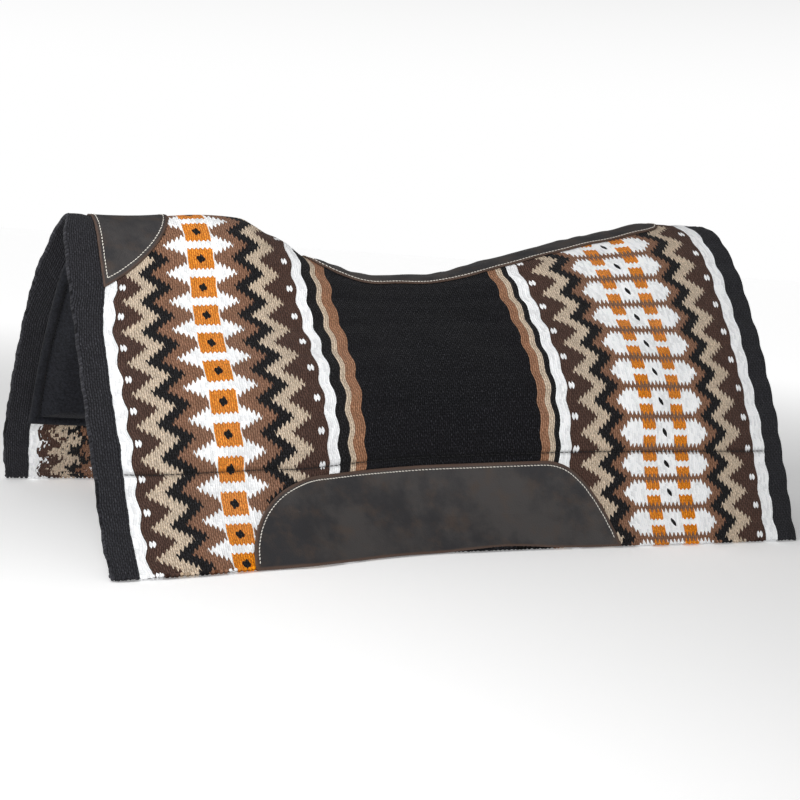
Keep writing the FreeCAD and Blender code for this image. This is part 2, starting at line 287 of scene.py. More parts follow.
def closed_grid(outer, inner, rim_bulge):
    """Points and faces of a closed sheet between two grids, with a rounded rim all round."""
    rows, columns = outer.shape[:2]
    numbers = np.arange(rows * columns).reshape(rows, columns)
    loop = np.concatenate([
        numbers[0, :-1], numbers[:-1, -1], numbers[-1, :0:-1], numbers[:0:-1, 0]])
    inward = numbers.copy()
    inward[0, :], inward[-1, :] = numbers[1, :], numbers[-2, :]
    inward[1:-1, 0], inward[1:-1, -1] = numbers[1:-1, 1], numbers[1:-1, -2]
    flat_outer, flat_inner = outer.reshape(-1, 3), inner.reshape(-1, 3)
    away = unit(flat_outer[loop] - flat_outer[inward.reshape(-1)[loop]])
    rim = (flat_outer[loop] + flat_inner[loop]) / 2.0 + away * rim_bulge
    count = rows * columns
    points = np.concatenate([flat_outer, flat_inner, rim])
    quads = np.stack([numbers[:-1, :-1], numbers[1:, :-1], numbers[1:, 1:], numbers[:-1, 1:]], axis=-1)
    quads = quads.reshape(-1, 4)
    rim_numbers = 2 * count + np.arange(len(loop))
    after, rim_after = np.roll(loop, -1), np.roll(rim_numbers, -1)
    faces = np.concatenate([
        quads,
        quads[:, ::-1] + count,
        np.stack([loop, after, rim_after, rim_numbers], axis=-1),
        np.stack([rim_numbers, rim_after, after + count, loop + count], axis=-1),
    ])
    return points, faces.tolist(), loop


def closed_rings(outer, inner):
    """Points and faces of a closed patch between two stacks of rings, the first ring at its edge.

    The last ring of each stack runs along a line and back, so its two halves are sewn together.
    """
    stack = np.concatenate([outer[::-1], inner])
    layers, count = stack.shape[:2]
    numbers = np.arange(layers * count).reshape(layers, count)
    after = np.roll(numbers, -1, axis=1)
    faces = np.stack([numbers[:-1], after[:-1], after[1:], numbers[1:]], axis=-1).reshape(-1, 4)
    return stack.reshape(-1, 3), faces.tolist()


MERGE_DISTANCE = 0.00002


def sewn_up(made):
    """Joins points that meet and turns every face outwards."""
    shape = bmesh.new()
    shape.from_mesh(made.data)
    bmesh.ops.remove_doubles(shape, verts=shape.verts, dist=MERGE_DISTANCE)
    bmesh.ops.recalc_face_normals(shape, faces=shape.faces)
    shape.to_mesh(made.data)
    shape.free()


BEAD_RINGS = 5
BEAD_BLUNTNESS = 0.7        # 1 gives an ellipse, less gives fuller ends


def beads(middles, alongs, ups, half_length, half_width, half_height, ring_points=8):
    """Points and faces of many small rounded lumps, such as stitches or turns of yarn, and points in each."""
    alongs = unit(alongs)
    ups = unit(ups - alongs * np.sum(ups * alongs, axis=1, keepdims=True))
    sideways = np.cross(alongs, ups)
    turns = np.linspace(0.0, 2.0 * np.pi, ring_points, endpoint=False)
    shape = [(-half_length, 0.0, 0.0)]
    for angle in np.linspace(0.0, np.pi, BEAD_RINGS + 2)[1:-1]:
        girth = math.sin(angle) ** BEAD_BLUNTNESS
        shape += [(-math.cos(angle) * half_length, girth * half_width * math.cos(turn),
                   girth * half_height * math.sin(turn)) for turn in turns]
    shape = np.array(shape + [(half_length, 0.0, 0.0)])
    axes = np.stack([alongs, sideways, ups], axis=1)
    points = middles[:, None, :] + np.einsum("pk,nkc->npc", shape, axes)
    faces = []
    for turn in range(ring_points):
        after = (turn + 1) % ring_points
        faces.append((0, 1 + after, 1 + turn))
        for ring in range(BEAD_RINGS - 1):
            first, second = 1 + ring * ring_points, 1 + (ring + 1) * ring_points
            faces.append((first + turn, first + after, second + after, second + turn))
        last = 1 + (BEAD_RINGS - 1) * ring_points
        faces.append((last + turn, last + after, len(shape) - 1))
    every = [tuple(number + lump * len(shape) for number in face)
             for lump in range(len(middles)) for face in faces]
    return points.reshape(-1, 3), every, len(shape)


# Materials

class Wire:
    """A socket of a material's node tree that arithmetic can be written with."""

    def __init__(self, tree, socket):
        self.tree = tree
        self.socket = socket

    def node(self, kind, inputs, output=0, **settings):
        """A socket of a new node, with its inputs filled and its settings made."""
        made = self.tree.nodes.new(kind)
        for key, value in settings.items():
            setattr(made, key, value)
        fill(made, inputs)
        return Wire(self.tree, made.outputs[output])

    def math(self, operation, *others):
        return self.node("ShaderNodeMath", dict(enumerate((self,) + others)), operation=operation)

    __add__ = __radd__ = partialmethod(math, "ADD")
    __sub__ = partialmethod(math, "SUBTRACT")
    __mul__ = __rmul__ = partialmethod(math, "MULTIPLY")
    __truediv__ = partialmethod(math, "DIVIDE")
    __pow__ = partialmethod(math, "POWER")
    __abs__ = partialmethod(math, "ABSOLUTE")
    floor = partialmethod(math, "FLOOR")
    over = partialmethod(math, "GREATER_THAN")
    under = partialmethod(math, "LESS_THAN")

    def __rsub__(self, other):
        return (self * -1.0) + other

    def brightness(self):
        return self.node("ShaderNodeRGBToBW", {"Color": self})

    def distance(self, other):
        return abs(self - other)

    def stepped(self, low, high):
        """0 below low, 1 above high, smooth between."""
        inputs = {"Value": self, "From Min": low, "From Max": high}
        return self.node("ShaderNodeMapRange", inputs, interpolation_type="SMOOTHSTEP")

    def mixed(self, first, second):
        """The first colour where this is 0, the second where it is 1."""
        return self.node("ShaderNodeMix", {0: self, 6: first, 7: second}, 2, data_type="RGBA")

    def vector(self, *parts):
        return self.node("ShaderNodeCombineXYZ", dict(enumerate(parts)))

    def parts(self):
        """The three parts of a vector."""
        first = self.node("ShaderNodeSeparateXYZ", {0: self})
        return [Wire(self.tree, output) for output in first.socket.node.outputs]

    def into(self, slot):
        self.tree.links.new(self.socket, slot)


def fill(node, inputs):
    """Links wires to a node's inputs, and writes plain numbers and colours in them."""
    for key, value in inputs.items():
        if isinstance(value, Wire):
            value.into(node.inputs[key])
        else:
            node.inputs[key].default_value = value


def srgb(red, green, blue):
    """A colour as the eye reads it, 0 to 255, in the renderer's linear values."""
    def linear(value):
        value /= 255.0
        return value / 12.92 if value <= 0.04045 else ((value + 0.055) / 1.055) ** 2.4
    return (linear(red), linear(green), linear(blue), 1.0)


def new_material(name, roughness, sheen=0.0, specular=0.5):
    material = bpy.data.materials.new(name)
    material.use_nodes = True
    tree = material.node_tree
    shader = next(node for node in tree.nodes if node.type == "BSDF_PRINCIPLED")
    fill(shader, {"Roughness": roughness, "Sheen Weight": sheen, "Sheen Roughness": 0.5,
                  "Specular IOR Level": specular})
    return material, tree, shader


def coordinates(tree, kind="Object"):
    return Wire(tree, tree.nodes.new("ShaderNodeTexCoord").outputs[kind])


def noise(where, scale, detail=2.0, roughness=0.5):
    """Cloudy values about 0.5, with scale clouds in each unit."""
    return where.node("ShaderNodeTexNoise", {"Vector": where, "Scale": scale, "Detail": detail,
                                             "Roughness": roughness})


def random_of(first, second):
    """A random value for each pair of whole numbers."""
    return first.node("ShaderNodeTexWhiteNoise", {"Vector": first.vector(first, second)}, "Value")


def raised(shader, height, distance, strength=1.0):
    """Makes the surface look uneven."""
    inputs = {"Strength": strength, "Distance": distance, "Height": height}
    height.node("ShaderNodeBump", inputs).into(shader.inputs["Normal"])


def weave_parts(tree):
    """The three numbers that a mesh holds for each point: its place in the pattern, and a mark."""
    weave = tree.nodes.new("ShaderNodeAttribute")
    weave.attribute_name = "weave"
    return Wire(tree, weave.outputs["Vector"]).parts()


def value_of(colour, value, saturation=1.0):
    """A colour made brighter or darker, and more or less vivid."""
    return value.node("ShaderNodeHueSaturation", {"Color": colour, "Value": value, "Saturation": saturation})


BLACK = srgb(25, 24, 25)
BORDER_BLACK = srgb(42, 42, 46)
PANEL_BLACK = srgb(16, 16, 20)
DARK_BROWN = srgb(84, 63, 55)
BROWN = srgb(140, 105, 84)
BEIGE = srgb(203, 186, 166)
WHITE = srgb(246, 247, 248)
ORANGE = srgb(222, 140, 48)
TAN = srgb(156, 117, 92)

# The pattern's lengths are in millimetres, and its places are distances from the front edge.
MILLIMETRES = 1000.0
FRONT_GROUND = (33.8, 260.0)    # the ground of each patterned band
REAR_GROUND = (566.0, 815.5)

# Where each plain stripe starts, with its colour.
STRIPES = [
    (0.0, BORDER_BLACK), (26.0, WHITE), (FRONT_GROUND[0], DARK_BROWN), (FRONT_GROUND[1], WHITE),
    (273.5, BLACK), (289.0, BEIGE), (294.0, TAN), (309.0, PANEL_BLACK), (528.0, TAN), (538.5, BEIGE),
    (544.0, BLACK), (552.0, WHITE), (REAR_GROUND[0], DARK_BROWN), (REAR_GROUND[1], WHITE),
    (831.0, BORDER_BLACK),
]

# The zigzags, from the outer one in: how far each colour reaches from the middle of its band level with a
# square, how much further it reaches half way between two, and the colour.
FRONT_ZIGZAGS = [(72.5, 27.5, BEIGE), (53.0, 26.0, BLACK), (35.5, 25.0, BROWN)]
REAR_ZIGZAGS = [(84.5, 26.0, BEIGE), (68.0, 21.5, BLACK), (52.0, 21.5, BROWN)]

# Where the inner face's colours change raggedly.
RAGGED_INSIDE = (36.0, 812.0)

# How far the stripes swing to the front and back with each repeat, and where each swing rises and falls.
STRIPE_SWINGS = [
    (4.0, (26.0, 36.0), (42.0, 76.0)),
    (4.0, (225.0, 258.0), (312.0, 400.0)),
    (3.2, (440.0, 528.0), (578.0, 610.0)),
]


def striped(where):
    """The colour of the plain stripe at a distance from the front edge."""
    colour = where.node("ShaderNodeValToRGB", {"Fac": where / (SHEET_LENGTH * MILLIMETRES)})
    ramp = colour.socket.node.color_ramp
    ramp.interpolation = "CONSTANT"
    ramp.elements[0].position, ramp.elements[0].color = STRIPES[0]
    for start, paint in STRIPES[1:]:
        ramp.elements.new(start / (SHEET_LENGTH * MILLIMETRES)).color = paint
    ramp.elements.remove(ramp.elements[-1])     # the white one that every new ramp ends with
    return colour


def grain_shaped(off, height, half_length, half_thickness):
    """Inside a yarn that shows for a short length and is pointed at both ends."""
    swell = 1.0 - (height / half_length) * (height / half_length)
    return (abs(off) - swell * half_thickness).under(0.0)


def pattern_colour(x, v):
    """Stripes, zigzags, diamonds, squares and dots at x from the front edge and v above the hem.

    Where the colours change along the yarns they meet in spikes, one up and one down in turn.
    """
    repeat, start = REPEAT * MILLIMETRES, REPEAT_START * MILLIMETRES
    ragged = noise(x.vector(x / 3.0, v / 14.0), 1.0, detail=1.0)
    spikes = (x * (math.pi / (PICK_WIDTH * MILLIMETRES))).math("COSINE") * (ragged * 4.2 + 0.4)

    def spread_at(height):
        """0 level with a square, 1 half way between two."""
        phase = (height - start) / repeat
        return abs(phase - (phase + 0.5).floor()) * 2.0

    spread = spread_at(v + spikes)
    blunt = spread_at(v + spikes * 0.45)
    row = ((v - start) / repeat + 0.5).floor()
    up = v - start - row * repeat
    up_between = v - start - ((v - start) / repeat).floor() * repeat - repeat / 2.0
    colour = striped(x)

    def painted(mask, paint):
        nonlocal colour
        colour = mask.mixed(colour, paint)

    def dots_at(*middles):
        """Two short white grains side by side, at each repeat."""
        for middle in middles:
            painted(grain_shaped(x.distance(middle) - 1.9, up, 4.6, 2.0), WHITE)

    in_front = x.over(FRONT_GROUND[0]) * x.under(FRONT_GROUND[1])
    in_rear = x.over(REAR_GROUND[0]) * x.under(REAR_GROUND[1])
    front = x.distance(FRONT_BAND * MILLIMETRES)
    rear = x.distance(REAR_BAND * MILLIMETRES)

    # The front band: zigzags, a white strip with points, orange squares, each with a black grain.
    for reach, teeth, paint in FRONT_ZIGZAGS:
        painted(in_front * (front - spread * teeth).under(reach), paint)
    painted(in_front * (front - spread * 36.0).under(6.5) * spread.over(0.25), WHITE)
    painted(front.under(16.2), WHITE)
    painted(front.under(15.0) * blunt.under(0.715), ORANGE)
    painted(grain_shaped(front * 0.7, up + spikes * 0.4, 5.6, 3.4), BLACK)
    dots_at(43.5, 253.5)

    # The rear band: zigzags, white ovals with two rows of orange squares, black grains between them.
    for reach, teeth, paint in REAR_ZIGZAGS:
        painted(in_rear * (rear - spread * teeth).under(reach), paint)
    painted(in_rear * (rear - spread * 18.5).under(41.0) * spread.over(0.22), WHITE)
    painted(rear.distance(21.0).under(8.8) * spread.over(0.22) * blunt.under(0.80), ORANGE)
    slanted = x - REAR_BAND * MILLIMETRES + up_between * 0.4
    painted(grain_shaped(slanted, up_between, 5.4, 2.6), BLACK)
    dots_at(573.0, 808.5)
    return colour


def yarn_grains(x, v):
    """How full the yarn is at a place, 1 in the middle of each grain that shows, and each grain's tone."""
    width, length = PICK_WIDTH * MILLIMETRES, FLOAT_LENGTH * MILLIMETRES
    nearest = (x / width + 0.5).floor()
    leaning = (x / width - nearest) * 0.16
    turns = v / length + leaning + nearest.math("FLOORED_MODULO", 2.0) * 0.5
    turn = (turns + 0.5).floor()
    down = abs((turns - turn) * 2.0)
    across = (x / width - nearest) * 2.0 / (1.0 - down ** 3.0 * 0.45)
    fullness = (1.0 - across * across) * (1.0 - down ** 4.0 * 0.75)
    return fullness, random_of(nearest, turn)


def woven_wool():
    """Weft yarns that run down the sides and show as long grains, in the woven pattern.

    On the inner face, where the mark is -1, the colours change raggedly. Along the seam, where it is 1, shade
    is painted into the crease, so the cloth is darker there. The gaps between the yarn grains get painted
    shade, and the dark yarns get painted highlights along their strands.
    """
    material, tree, shader = new_material("woven_wool", 0.92, sheen=0.05, specular=0.12)
    x, v, mark = weave_parts(tree)
    seam, inside = mark.math("MAXIMUM", 0.0), (mark * -1.0).math("MAXIMUM", 0.0)

    place_in_cloth = x.vector(x, v)
    x = x + (noise(place_in_cloth, 0.05, detail=2.0) - 0.5) * 3.0
    column = (x / (PICK_WIDTH * MILLIMETRES)).floor()
    level = (v / (FLOAT_LENGTH * MILLIMETRES)).floor()
    flecked = inside * x.over(RAGGED_INSIDE[0]) * x.under(RAGGED_INSIDE[1])
    x = x + (random_of(column, level) - 0.5) * flecked * 9.0
    v = v + (random_of(column + 40.0, level) - 0.5) * flecked * 14.0
    colour = pattern_colour(x, v)
    fullness, tone = yarn_grains(x, v)

    fibres = noise(coordinates(tree), 900.0, detail=2.0)
    fade = noise(coordinates(tree), 9.0, detail=3.0)
    # Painted shade: each colour is darkened in the gaps between the yarn grains, and the grains' middles keep
    # the full colour.
    gap_shade = colour.node("ShaderNodeGamma", {"Color": colour, "Gamma": 1.5})
    pale = colour.brightness().stepped(0.55, 0.85)
    dark = 1.0 - colour.brightness().stepped(0.015, 0.06)
    # Painted highlights: pale bluish grey streaks along the strands, on the crests of the dark yarns.
    strand_highlights = noise(x.vector(x, v * 0.3), 1.3, detail=2.0).stepped(0.46, 0.72)
    shaded = fullness.stepped(-0.2, 0.7).mixed(gap_shade, colour)
    shaded = (strand_highlights * dark * fullness.stepped(0.2, 0.9) * 0.12).mixed(shaded, srgb(150, 150, 158))
    melange = noise(x.vector(x, v * 0.45), 0.9, detail=3.0).stepped(0.34, 0.66) - 0.5
    # Painted shade along the seam's crease: the cloth there is darkened where the seam mark is 1.
    value = (0.68 + tone * 0.3 + fibres * 0.3 + fade * 0.16) * (1.0 - seam * 0.6)
    value = value * (1.0 + melange * (1.0 - pale) * 0.55)
    value_of(shaded, value, 0.9 + fade * 0.2).into(shader.inputs["Base Color"])
    height = fullness.stepped(-0.2, 1.0) + tone * 0.3 + fibres * 0.2
    raised(shader, height * (1.0 - pale * 0.6), 0.0011, 0.75)
    return material


def felt(name, colour, fuzz):
    """Pressed wool: cloudy at the scale of the fibres, with a few pale hairs."""
    material, tree, shader = new_material(name, 0.97, sheen=0.08, specular=0.1)
    where = coordinates(tree)
    fine = noise(where, 330.0, detail=4.0, roughness=0.75)
    cloud = noise(where, 38.0, detail=4.0)
    hairs = noise(where, 1300.0, detail=1.0).stepped(0.66, 0.74)
    shades = 0.25 + fine.stepped(0.32, 0.68) * 1.1 + cloud * 0.4
    value_of(colour, shades + hairs * 0.5).into(shader.inputs["Base Color"])
    raised(shader, fine + cloud * 0.6, fuzz, 0.6)
    return material


def leather():
    """Oiled dark leather: grain, cloudy waxing and pale scuffs. The mark is 1 along its browner raw edge."""
    material, tree, shader = new_material("leather", 0.6, specular=0.35)
    where = coordinates(tree)
    grain = where.node("ShaderNodeTexVoronoi", {"Vector": where, "Scale": 520.0}, "Distance")
    cloud = noise(where, 14.0, detail=6.0, roughness=0.62)
    wax = noise(where, 46.0, detail=5.0, roughness=0.6)
    stretched = where.node("ShaderNodeMapping", {"Vector": where, "Scale": (12.0, 120.0, 60.0),
                                                 "Rotation": (0.0, 0.5, 0.2)})
    scuffs = noise(stretched, 1.0, detail=6.0, roughness=0.75).stepped(0.64, 0.78)
    _, _, edge = weave_parts(tree)
    body = cloud.stepped(0.38, 0.62).mixed(srgb(47, 46, 48), srgb(68, 65, 64))
    body = (wax.stepped(0.45, 0.75) * 0.55).mixed(body, srgb(78, 65, 56))
    body = (scuffs * 0.5).mixed(body, srgb(106, 97, 88))
    body = (edge * 0.8).mixed(body, srgb(88, 68, 57))
    fill(shader, {"Base Color": body, "Roughness": wax * 0.3 + 0.45})
    raised(shader, grain * 0.6 + wax * 0.8 + cloud, 0.0006, 0.5)
    return material


def thread(name, colour):
    """Waxed thread, twisted."""
    material, tree, shader = new_material(name, 0.55, specular=0.3)
    where = coordinates(tree)
    twist = noise(where, 1500.0, detail=1.0)
    wear = noise(where, 60.0, detail=3.0)
    value_of(colour, 0.7 + twist * 0.3 + wear * 0.3).into(shader.inputs["Base Color"])
    raised(shader, twist, 0.0003)
    return material


# The woven top

SHEET_COLUMNS = 205
ROW_HEIGHT = 0.0052
UPPER_ROWS = np.linspace(0.0, 1.0, 34)[1:] ** 0.95      # the rows near the spine, as shares of what is left
CORNER_FADES = 0.035        # height at which the corner no longer lifts the rows
INNER_RELIEF = 0.6          # how much of the outer face's relief the inner face shows
HEM_HEIGHT = 0.0024         # lowest that either face comes over the ground
HEM_ROUNDING = 0.0022       # how far the rim round the sheet bulges past its faces
EDGE_CORD_PITCH = 0.0052
EDGE_CORD_ENDS = 0.003      # where the cord stops short of the hems
EDGE_CORD_TWIST = 0.45


def edge_waves(from_front, above_hem):
    """The front and rear edges wander a little, and the front one runs in towards the hem."""
    near_front = 1.0 - smooth(0.0, 0.026, from_front)
    near_rear = smooth(SHEET_LENGTH - 0.045, SHEET_LENGTH, from_front)
    turns = 2.0 * np.pi * above_hem
    front = 0.0005 * np.sin(turns / 0.047) + 0.0003 * np.sin(turns / 0.017)
    front = front + 0.0040 * np.exp(-above_hem / 0.035)
    rear = 0.0011 * np.cos((above_hem - REPEAT_START) * 2.0 * np.pi / REPEAT)
    return near_front * front + near_rear * rear


HEM_CORNER = 0.010          # radius of the front lower corner


def corner_lift(from_front):
    """How far the hem rises round the front lower corner."""
    into = np.clip(HEM_CORNER - from_front, 0.0, HEM_CORNER)
    return HEM_CORNER - np.sqrt(HEM_CORNER * HEM_CORNER - into * into)


def in_lining(from_front, outside, inside):
    """1 over the lining, with steps that start outside its front and rear edges and end inside them."""
    front, rear = LINING_INSET, SHEET_LENGTH - LINING_INSET
    return between(from_front, (front - outside, front + inside), (rear - inside, rear + outside))


def cloth_relief(from_front, above_hem):
    """The seam's crease, the quilted swell above it, and small unevenness of the hand-woven cloth."""
    crease = -0.0021 * bump_at(above_hem, LINING_SEAM, 0.0028)
    swell = 0.0030 * bump_at(above_hem, LINING_SEAM + 0.026, 0.018)
    uneven = 0.0006 * np.sin(from_front * 61.0 + 2.0 * np.sin(above_hem * 23.0))
    uneven = uneven + 0.0005 * np.sin(above_hem * 74.0 + 1.7 * np.sin(from_front * 31.0))
    ribs = 0.0003 * np.cos(above_hem * 4.0 * np.pi / REPEAT)
    from_spine = cloth_at(from_front) - above_hem
    gathers = bump_at(from_front, 0.803, 0.013) + bump_at(from_front, 0.832, 0.012)
    gathered = 0.0020 * gathers * bump_at(from_spine, 0.0, 0.030)
    return (crease + swell) * in_lining(from_front, 0.004, 0.004) + uneven + ribs + gathered


def seam_crease_shade(from_front, above_hem):
    """1 along the lining seam, where the cloth is pulled in and the wool's material paints shade into the
    crease.
    """
    return bump_at(above_hem, LINING_SEAM, 0.0020) * in_lining(from_front, 0.0, 0.006)


def weave_place(from_front, above_hem):
    """Where in the flat pattern a place on the cloth lies, in millimetres."""
    x, v = from_front * MILLIMETRES, above_hem * MILLIMETRES
    from_spine = cloth_at(from_front) - above_hem

    # The warp is drawn forward over the withers and at the front corner.
    over_withers = 1.0 - smooth(0.085, 0.185, from_spine)
    x = x - over_withers * (13.0 - 9.0 * smooth(60.0, 95.0, x)) * (1.0 - smooth(170.0, 240.0, x))
    x = x - 4.5 * np.exp(-v / 70.0) * (1.0 - smooth(60.0, 150.0, x))

    # The picks lie at uneven heights in the front half, lower still along the front edge, and a little lower
    # in the middle of the rear half.
    in_rear = smooth(250.0, 400.0, x)
    in_front = 4.6 * smooth(12.0, 80.0, v) - 3.4 * smooth(80.0, 310.0, v) + 4.5 * smooth(305.0, 420.0, v)
    at_edge = 7.0 * np.clip((105.0 - x) / 59.0, 0.0, 1.0) * (1.0 - smooth(240.0, 325.0, v))
    v = v + at_edge + (1.0 - in_rear) * in_front + in_rear * 3.0 * bump_at(v, 108.0, 32.0)

    # The plain stripes swing to and fro with the repeat, at the rear edge a little less.
    dots = 0.5 + 0.5 * np.cos((v - REPEAT_START * MILLIMETRES) * 2.0 * np.pi / (REPEAT * MILLIMETRES))
    swing = 2.6 * smooth(780.0, 812.0, x) * (1.0 - 0.4 * smooth(832.0, 864.0, x))
    for most, rise, fall in STRIPE_SWINGS:
        swing = swing + most * between(x, rise, fall)
    return x - dots * swing, v


def marked(weave_x, weave_v, mark=0.0):
    """The three numbers for each point that the wool's material reads."""
    return np.stack([weave_x, weave_v, np.broadcast_to(mark, weave_x.shape)], axis=-1).reshape(-1, 3)


def sheet_rows():
    """Heights above the hem as far up as every station has cloth, closer at the hem and at the seam."""
    at_hem = [0.0, 0.0022, 0.0048]
    beside_seam = np.array([0.0018, 0.0042, 0.0075])
    at_seam = LINING_SEAM + np.concatenate([-beside_seam, [0.0], beside_seam])
    rows = np.arange(0.0095, 0.2902, ROW_HEIGHT)
    rows = rows[np.abs(rows - LINING_SEAM) > 2.0 * ROW_HEIGHT]
    return np.sort(np.concatenate([at_hem, rows, at_seam]))


def over_spine(rows):
    """The left side's rows of heights from its bottom up, then the right side's, and each row's side."""
    count = len(rows)
    return np.concatenate([rows, rows[-2::-1]]), np.repeat([[LEFT], [RIGHT]], [count, count - 1], axis=0)


def woven_top(material):
    """One closed sheet, hem to hem over the spine."""
    even = np.linspace(0.0, 1.0, SHEET_COLUMNS)
    from_front = (even - 0.012 * np.sin(even * 2.0 * np.pi)) * SHEET_LENGTH
    heights = sheet_rows()
    total = cloth_at(from_front)
    side_rows = [np.full(SHEET_COLUMNS, height) for height in heights]
    side_rows += [heights[-1] + (total - heights[-1]) * share for share in UPPER_ROWS]
    above_hem, side = over_spine(np.array(side_rows))
    grid_x = np.broadcast_to(from_front, above_hem.shape)
    lifted = above_hem + corner_lift(grid_x) * np.clip(1.0 - above_hem / CORNER_FADES, 0.0, 1.0)
    across = side * (total - lifted)
    moved_x = grid_x + edge_waves(grid_x, above_hem)
    relief = cloth_relief(grid_x, above_hem)
    outer = place(moved_x, across, relief)
    inner = place(moved_x, across, relief * INNER_RELIEF - WOVEN_THICKNESS)
    for face in (inner, outer):
        face[..., 2] = np.maximum(face[..., 2], HEM_HEIGHT)
    points, faces, loop = closed_grid(outer, inner, HEM_ROUNDING)
    # The third number marks the seam's crease, where the wool's material paints shade.
    weave = marked(*weave_place(grid_x, above_hem), seam_crease_shade(grid_x, above_hem))
    under = weave * [1.0, 1.0, 0.0] - [0.0, 0.0, 1.0]
    made = new_object("blanket", points, faces, material, np.concatenate([weave, under, weave[loop]]))
    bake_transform(made)
    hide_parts("woven_top_left", "woven_top_right")
    area = 2.0 * float(np.mean(HANG_CLOTH)) * SHEET_LENGTH
    return made, area


def yarn_turns(side_name, material):
    """The turns of weft along one hem, where the wear leather doesn't hide them."""
    side = SIDES[side_name]
    from_front = np.arange(PICK_WIDTH, SHEET_LENGTH, 2.0 * PICK_WIDTH)
    showing = np.abs(from_front - HEM_SHOWS_AT) < 1.4 * HEM_SHOWS_WIDTH
    from_front = from_front[(from_front < WEAR_FRONT) | (from_front > WEAR_REAR) | showing]
    count = len(from_front)
    wander = rng.uniform(-0.4, 0.4, count) * PICK_WIDTH
    height = rng.uniform(0.0024, 0.0032, count)
    across = across_of(from_front, 0.002 + corner_lift(from_front), side)
    start = place(from_front, across, -0.0003)
    end = place(from_front, across, -WOVEN_THICKNESS + 0.0003)
    middles = (start + end) / 2.0
    middles[:, 0] += wander + edge_waves(from_front, 0.0)
    middles[:, 2] = np.maximum(middles[:, 2], height)
    upwards = np.tile([0.0, 0.0, 1.0], (count, 1))
    points, faces, size = beads(middles, end - start, upwards, half_length=0.0034, half_width=0.0023,
                                half_height=0.0024)
    points[:, 2] = np.maximum(points[:, 2], LOWEST)
    weave = marked(*weave_place(np.repeat(from_front, size), np.full(count * size, 0.003)))
    made = new_object("hem_turns_" + side_name, points, faces, material, weave)
    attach(made, side_name + "_side")
    return made


def selvage(name, from_front, material):
    """The twined cord of yarn along the front or rear edge, over the spine from hem to hem."""
    total = float(cloth_at(from_front))
    reach = total - EDGE_CORD_ENDS
    count = int(2.0 * total / EDGE_CORD_PITCH)
    at = np.full(count, from_front)
    across = np.linspace(-reach, reach, count)
    above_hem = total - np.abs(across)
    at_front = from_front < SHEET_LENGTH / 2.0
    if at_front:
        across = np.sign(across) * np.minimum(np.abs(across), reach - float(corner_lift(from_front)))
    outward = -WOVEN_THICKNESS / 2.0 + cloth_relief(at, above_hem) + rng.uniform(-0.0003, 0.0003, count)
    middles = place(at + edge_waves(at, above_hem), across, outward)
    along = unit(np.gradient(middles, axis=0))
    ways = np.tile([-1.0 if at_front else 1.0, 0.0, 0.0], (count, 1))
    slanted = along + EDGE_CORD_TWIST * np.cross(along, ways)
    points, faces, size = beads(middles, slanted, ways, half_length=0.0038, half_width=0.0028,
                                half_height=0.0021)
    points[:, 2] = np.maximum(points[:, 2], LOWEST)
    weave_x = MILLIMETRES * (0.003 if at_front else SHEET_LENGTH - 0.003)   # in the border's colour
    weave = marked(np.full(count * size, weave_x), np.repeat(above_hem, size) * MILLIMETRES)
    made = new_object(name, points, faces, material, weave)
    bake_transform(made)
    return made


# The padding under it

ROLL_MIDDLE = 0.0052        # the rolled band along the lining's edge: its middle, half its width, its end
ROLL_HALF_WIDTH = 0.0058
ROLL_END = 0.0106
GROOVE = 0.0112             # where the thread sews the roll down
RISE_END = 0.034            # where it has risen over the core


def lining_depth(edge):
    """Depth of the lining's inner face at a distance from its nearest edge: a roll sewn down along a groove,
    then the rise over the core."""
    across_roll = (edge - ROLL_MIDDLE) / ROLL_HALF_WIDTH
    roll = WOVEN_THICKNESS + 0.0026 + ROLL_HALF_WIDTH * np.sqrt(np.clip(1.0 - across_roll ** 2, 0.0, 1.0))
    groove = WOVEN_THICKNESS + 0.0045
    full = WOVEN_THICKNESS + CORE_THICKNESS + LINING_THICKNESS + 2.0 * LAYER_GAP
    over_core = groove + (full - groove) * smooth(ROLL_END, RISE_END, edge) ** 0.6
    return np.where(edge < ROLL_END, np.minimum(roll, 0.0146), over_core)


def spaced_from(low, high, fine, coarse, reach):
    """Positions from low to high, fine near both ends and coarse between."""
    ends = np.arange(0.0, reach, fine)
    middle = np.linspace(low + reach, high - reach, int((high - low - 2.0 * reach) / coarse) + 1)
    return np.concatenate([low + ends, middle, high - ends[::-1]])


def felt_lining(material):
    """One padded layer over the spine from seam to seam, rolled and sewn down along its edges."""
    from_front = spaced_from(LINING_INSET, SHEET_LENGTH - LINING_INSET, 0.0011, 0.0080, 0.0370)
    reach = cloth_at(from_front) - (LINING_SEAM - LINING_BELOW_SEAM)
    near_edge = np.arange(0.0, 0.036, 0.0012)
    near_edge = np.repeat(near_edge[:, None], len(reach), axis=1)
    upper = 0.04 + (reach - 0.04) * np.linspace(0.0, 1.0, 52)[:, None]
    from_bottom, side = over_spine(np.concatenate([near_edge, upper]))
    across = side * (reach - from_bottom)
    grid_x = np.broadcast_to(from_front, from_bottom.shape)
    edge = np.minimum(np.minimum(grid_x - LINING_INSET, SHEET_LENGTH - LINING_INSET - grid_x), from_bottom)
    uneven = 0.0005 * np.sin(grid_x * 90.0 + np.sin(from_bottom * 40.0)) * smooth(0.0, 0.02, edge)
    depth = lining_depth(edge) + uneven
    thickness = np.minimum(LINING_THICKNESS, 0.0022 + edge * 0.4)
    inner_face = place(grid_x, across, -depth)
    outer_face = place(grid_x, across, -np.maximum(depth - thickness, WOVEN_THICKNESS + 0.0005))
    points, faces, _ = closed_grid(outer_face, inner_face, 0.0006)
    made = new_object("lining", points, faces, material)
    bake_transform(made)
    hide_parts("felt_lining_left", "felt_lining_right")
    return made


